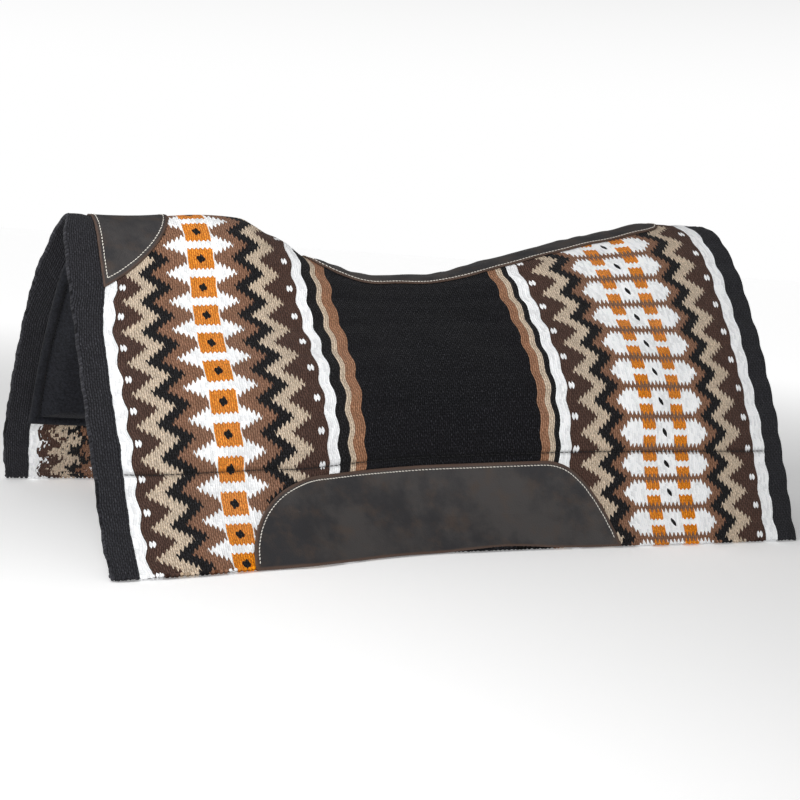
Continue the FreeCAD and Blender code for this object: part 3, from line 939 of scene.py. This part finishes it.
def felt_core(side_name, material):
    """The stuffing layer on one side, with rounded edges."""
    inset = CORE_INSET + 0.004
    from_front = spaced_from(inset, SHEET_LENGTH - inset, 0.003, 0.016, 0.030)
    room = fold_room(from_front)
    reach = cloth_at(from_front) - (LINING_SEAM + 0.010) - room
    from_bottom = spaced_from(0.0, 1.0, 0.02, 0.04, 0.12)[:, None] * reach
    grid_x = np.broadcast_to(from_front, from_bottom.shape)
    across = SIDES[side_name] * (reach + room - from_bottom)
    edge = np.minimum(np.minimum(grid_x - from_front[0], from_front[-1] - grid_x), from_bottom)
    lower = lining_depth(edge + inset - LINING_INSET) - LINING_THICKNESS - 0.0015
    upper = np.full_like(lower, WOVEN_THICKNESS + 0.0008)
    lower = np.maximum(lower, upper + 0.001)
    points, faces, _ = closed_grid(place(grid_x, across, -upper), place(grid_x, across, -lower), 0.0004)
    made = new_object("stuffing_" + side_name, points, faces, material)
    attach(made, side_name + "_side")
    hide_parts("felt_core_" + side_name)
    return made


# Leathers and threads

def leather_patch(name, outline, middle, lift, material):
    """A patch of leather with rounded edges, from its outline in to its middle, a (from_front, across) for
    each point of the outline."""
    shares = np.array([1.0, 0.996, 0.985, 0.965, 0.92, 0.8, 0.6, 0.4, 0.2, 0.0])
    reach = np.linalg.norm(outline - middle, axis=1).mean()
    rings = middle + (outline - middle) * shares[:, None, None]
    in_from_edge = (1.0 - shares) * reach
    rounding = LEATHER_THICKNESS * 0.45
    height = LEATHER_THICKNESS - rounding * (1.0 - smooth(0.0, 0.0016, in_from_edge)) ** 2
    grip = 0.0003 * bump_at(in_from_edge, STITCH_INSET, 0.0012)
    relief = lift(rings[..., 0], rings[..., 1])
    outer = place(rings[..., 0], rings[..., 1], relief + (height - grip)[:, None])
    inner = place(rings[..., 0], rings[..., 1], relief + 0.0001)
    points, faces = closed_rings(outer, inner)
    raw = 1.0 - smooth(0.0020, 0.0042, in_from_edge)
    edge = np.broadcast_to(np.concatenate([raw[::-1], raw])[:, None], (2 * len(shares), len(outline)))
    weave = np.zeros((edge.size, 3))
    weave[:, 2] = edge.ravel()
    made = new_object(name, points, faces, material, weave)
    sewn_up(made)
    return made


def resampled(line, step):
    """A line's points, evenly spaced."""
    lengths = np.concatenate([[0.0], np.cumsum(np.linalg.norm(np.diff(line, axis=0), axis=1))])
    count = max(2, int(round(lengths[-1] / step)))
    wanted = np.linspace(0.0, lengths[-1], count + 1)
    return np.stack([np.interp(wanted, lengths, line[:, axis]) for axis in range(line.shape[1])], axis=-1)


def stitches(name, line, lift, material, outward, pitch=0.0042, length=0.0036, width=0.00055):
    """A row of slightly slanted stitches along a line of (from_front, across)."""
    ends = resampled(line, pitch)
    middles = (ends[:-1] + ends[1:]) / 2.0
    height = lift(middles[:, 0], middles[:, 1]) + outward
    at, first, last = (place(row[:, 0], row[:, 1], height) for row in (middles, ends[:-1], ends[1:]))
    up = place(middles[:, 0], middles[:, 1], height + 0.001) - at
    along = last - first
    along = along + 0.12 * np.cross(along, unit(up))
    points, faces, _ = beads(at, along, up, length / 2.0, width, width * 0.9, ring_points=6)
    made = new_object(name, points, faces, material)
    return made


def relief_at(from_front, across):
    """How far the cloth's outer face stands out at a place."""
    return cloth_relief(from_front, cloth_at(from_front) - np.abs(across))


def on_cloth(from_front, across):
    """Just clear of the cloth's outer face."""
    return relief_at(from_front, across) + 0.0002


def no_relief(from_front, _):
    return np.zeros_like(from_front)


def wear_edge():
    """The edge of a wear leather from its front end up, over and down to its rear end, as (from_front,
    above_hem): a quarter ellipse in front, and a slanting side with a tighter corner behind."""
    turn = np.linspace(0.0, np.pi / 2.0, 40)
    rise = WEAR_TOP * np.sin(turn)
    front = paired(WEAR_FRONT + WEAR_CORNER * (1.0 - np.cos(turn)), rise)
    corner = WEAR_REAR_CORNER * (1.0 - np.cbrt(1.0 - (rise / WEAR_TOP) ** 3))
    rear = paired(WEAR_REAR - WEAR_SLANT * rise - corner, rise)[::-1]
    top = np.linspace(front[-1, 0], rear[0, 0], 70)[1:-1]
    return np.concatenate([front, paired(top, np.full_like(top, WEAR_TOP)), rear])


def moved_in(line, distance):
    """A line of points moved to its right by a distance."""
    along = unit(np.gradient(line, axis=0))
    return line + distance * paired(along[:, 1], -along[:, 0])


def wear_outline(side):
    """Round a whole wear leather, with its edge along the hem."""
    edge = wear_edge()
    edge[:, 1] = np.maximum(edge[:, 1], WEAR_BOTTOM)
    back = np.linspace(edge[-1, 0], edge[0, 0], 96)[1:-1]
    bottom = WEAR_BOTTOM + HEM_SHOWING * bump_at(back, HEM_SHOWS_AT, HEM_SHOWS_WIDTH)
    return on_side(np.concatenate([edge, paired(back, bottom)]), side)


def wear_leather(side_name, hide, white):
    """The D-shaped leather at the bottom of one side, stitched round except along the hem."""
    side = SIDES[side_name]
    outline = wear_outline(side)
    middle_x = np.clip(outline[:, 0], WEAR_FRONT + 0.075, WEAR_REAR - 0.075)
    middle = paired(middle_x, across_of(middle_x, 0.045, side))
    patch = leather_patch("wear_leather_" + side_name + "_hide", outline, middle, on_cloth, hide)
    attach(patch, side_name + "_side")
    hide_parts("wear_leather_" + side_name)
    line = moved_in(wear_edge(), STITCH_INSET)
    line = on_side(line[line[:, 1] > 0.008], side)
    row = stitches("wear_leather_stitches_" + side_name, line, on_cloth, white, ON_LEATHER)
    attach(row, side_name + "_side")
    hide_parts("wear_leather_stitching_" + side_name)


def wither_outline(inset):
    """Round the half-round wither leather: its straight front, then its rear curve."""
    reach = WITHER_REACH - 2.2 * inset
    front, depth = WITHER_FRONT + inset, WITHER_REAR - WITHER_FRONT - 2.0 * inset
    across = np.linspace(-reach, reach, 90)
    curve = paired(front + depth * (1.0 - (across[::-1] / reach) ** 2), across[::-1])
    return np.concatenate([paired(np.full_like(across, front), across), curve[1:-1]])


def spine_outline(inset):
    """Round the spine leather, a strip with rounded ends."""
    front, rear, reach = SPINE_FRONT + inset, SPINE_REAR - inset, SPINE_REACH - inset
    turn = np.linspace(-np.pi / 2.0, np.pi / 2.0, 25)
    length = reach * 1.25
    ends_x, ends_y = length * np.cos(turn), reach * np.sin(turn)
    straight = np.linspace(front + length, rear - length, 100)[1:-1]
    wander = 0.0006 * np.sin(straight * 95.0)
    return np.concatenate([
        paired(rear - length + ends_x, ends_y),
        paired(straight[::-1], reach + wander[::-1]),
        paired(front + length - ends_x[::-1], ends_y[::-1]),
        paired(straight, -reach + wander),
    ])


def crossing_leather(name, outline_of, middle_of, lift, inset, hide, white):
    """A leather over the spine, with its row of stitches at an inset from its edge."""
    outline = outline_of(0.0)
    patch = leather_patch(name + "_hide", outline, middle_of(outline), lift, hide)
    line = outline_of(inset)
    line = np.concatenate([line, line[:1]])
    row = stitches(name + "_stitches", line, lift, white, ON_LEATHER)
    for piece, node in ((patch, name), (row, name + "_stitching")):
        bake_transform(piece)
        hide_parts(node)


def wither_middle(outline):
    """The curve that the wither leather's rings close on."""
    across = outline[:, 1] * 0.55
    depth = (WITHER_REAR - WITHER_FRONT) * (1.0 - (across / WITHER_REACH) ** 2)
    return paired(WITHER_FRONT + depth * 0.45, across)


def spine_middle(outline):
    """The line that the spine leather's rings close on."""
    along = np.clip(outline[:, 0], SPINE_FRONT + 0.035, SPINE_REAR - 0.035)
    return paired(along, np.zeros_like(along))


def on_spine(from_front, across):
    """The spine leather bridges small hollows and ripples slightly."""
    ripple = 0.0007 * np.sin(from_front * 150.0 + 2.0 * np.sin(from_front * 37.0))
    ripple = ripple * (1.0 - smooth(0.0, 0.03, np.abs(across)))
    return on_cloth(from_front, across) + 0.0006 + ripple


def lining_stitches(name, line, lift, outward, side_name, dark):
    """A row of dark stitches on one side, along a line of (from_front, above_hem)."""
    row = stitches(name, on_side(line, SIDES[side_name]), lift, dark, outward,
                   pitch=0.0062, length=0.0050, width=0.0006)
    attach(row, side_name + "_side")
    return row


def lining_threads(side_name, dark):
    """The stitches that hold the lining, along the seam and down its front and rear edges."""
    front, rear = LINING_INSET, SHEET_LENGTH - LINING_INSET
    along = np.linspace(front + 0.004, rear - 0.004, 200)
    line = paired(along, np.full_like(along, LINING_SEAM))
    seam = lining_stitches("lining_seam_stitches_" + side_name, line, relief_at, 0.0, side_name, dark)
    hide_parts("lining_seam_stitching_" + side_name)
    depth = float(lining_depth(GROOVE)) + 0.0003
    for end, at in (("front", front + GROOVE), ("rear", rear - GROOVE)):
        above = np.linspace(LINING_SEAM + 0.006, float(cloth_at(at) - fold_room(at)), 160)
        line = paired(np.full_like(above, at), above)
        row = lining_stitches("lining_edge_stitches_" + side_name + "_" + end, line, no_relief, -depth,
                              side_name, dark)
        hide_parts("lining_edge_stitching_" + side_name)


# Stage

def look_from():
    """Where the camera stands and how it is turned, as one matrix."""
    azimuth, elevation, roll = map(math.radians, (CAMERA_AZIMUTH, CAMERA_ELEVATION, CAMERA_ROLL))
    forward = Vector((math.sin(azimuth) * math.cos(elevation), math.cos(azimuth) * math.cos(elevation),
                      -math.sin(elevation)))
    level = Vector((math.cos(azimuth), -math.sin(azimuth), 0.0))
    upright = level.cross(forward)
    right = level * math.cos(roll) + upright * math.sin(roll)
    up = upright * math.cos(roll) - level * math.sin(roll)
    stand = Vector(CAMERA_TARGET) - forward * CAMERA_DISTANCE
    return Matrix.Translation(stand) @ Matrix((right, up, -forward)).transposed().to_4x4()


def camera():
    data = bpy.data.cameras.new("camera")
    data.sensor_width = CAMERA_SENSOR
    data.lens = CAMERA_LENS
    data.clip_end = 50.0
    made = linked("camera", data)
    made.matrix_world = look_from()
    bpy.context.scene.camera = made


def soft_light(name, stand, aim, size, watts):
    data = bpy.data.lights.new(name, "AREA")
    data.shape = "DISK"
    data.size = size
    data.energy = watts
    made = linked(name, data)
    made.location = stand
    made.rotation_euler = (Vector(aim) - Vector(stand)).to_track_quat("-Z", "Y").to_euler()


def floor():
    """A wide pale floor, brighter far from the pad."""
    corners = [(-15.0, -15.0, 0.0), (15.0, -15.0, 0.0), (15.0, 15.0, 0.0), (-15.0, 15.0, 0.0)]
    material, tree, shader = new_material("floor_paint", 0.9, specular=0.1)
    where = coordinates(tree)
    away = where.node("ShaderNodeVectorMath", {0: where}, "Value", operation="LENGTH")
    fill(shader, {"Base Color": (0.93, 0.93, 0.93, 1.0), "Emission Color": (1.0, 1.0, 1.0, 1.0),
                  "Emission Strength": away.stepped(0.6, 3.0) * 0.52 + 0.22})
    made = new_object("floor", corners, [(0, 1, 2, 3)], material)
    made.location.z = -0.0005


def surroundings():
    """White all round, and dimmer overhead, so that the pad's folds keep some shade."""
    world = bpy.data.worlds.new("studio")
    bpy.context.scene.world = world
    world.use_nodes = True
    tree = world.node_tree
    back = next(node for node in tree.nodes if node.type == "BACKGROUND")
    height = coordinates(tree, "Generated").parts()[2]
    fill(back, {"Color": (1.0, 1.0, 1.0, 1.0), "Strength": 1.0 - height.stepped(0.08, 0.40) * 0.80})


def stage():
    floor()
    surroundings()
    soft_light("key", stand=(-1.10, -1.00, 1.05), aim=(-0.30, 0.0, 0.2), size=0.9, watts=15.5)
    soft_light("top", stand=(-0.8, 0.3, 2.3), aim=(-0.2, 0.0, 0.2), size=1.6, watts=6.0)
    bpy.context.scene.view_settings.view_transform = "Standard"


camera()
stage()

wool = woven_wool()
core_felt = felt("core_felt", srgb(58, 58, 62), 0.0005)
lining_felt = felt("lining_felt", srgb(31, 32, 37), 0.0014)
hide = leather()
white = thread("white_thread", srgb(236, 231, 221))
dark = thread("dark_thread", srgb(25, 25, 27))

top, top_area = woven_top(wool)
trim = [yarn_turns(side_name, wool) for side_name in SIDES]
trim.append(selvage("selvage_front", 0.0012, wool))
trim.append(selvage("selvage_rear", SHEET_LENGTH - 0.0012, wool))
felt_lining(lining_felt)
for side_name in SIDES:
    felt_core(side_name, core_felt)
    wear_leather(side_name, hide, white)
    lining_threads(side_name, dark)
crossing_leather("wither_leather", wither_outline, wither_middle, on_cloth, STITCH_INSET, hide, white)
crossing_leather("spine_leather", spine_outline, spine_middle, on_spine, SPINE_STITCH_INSET, hide, white)
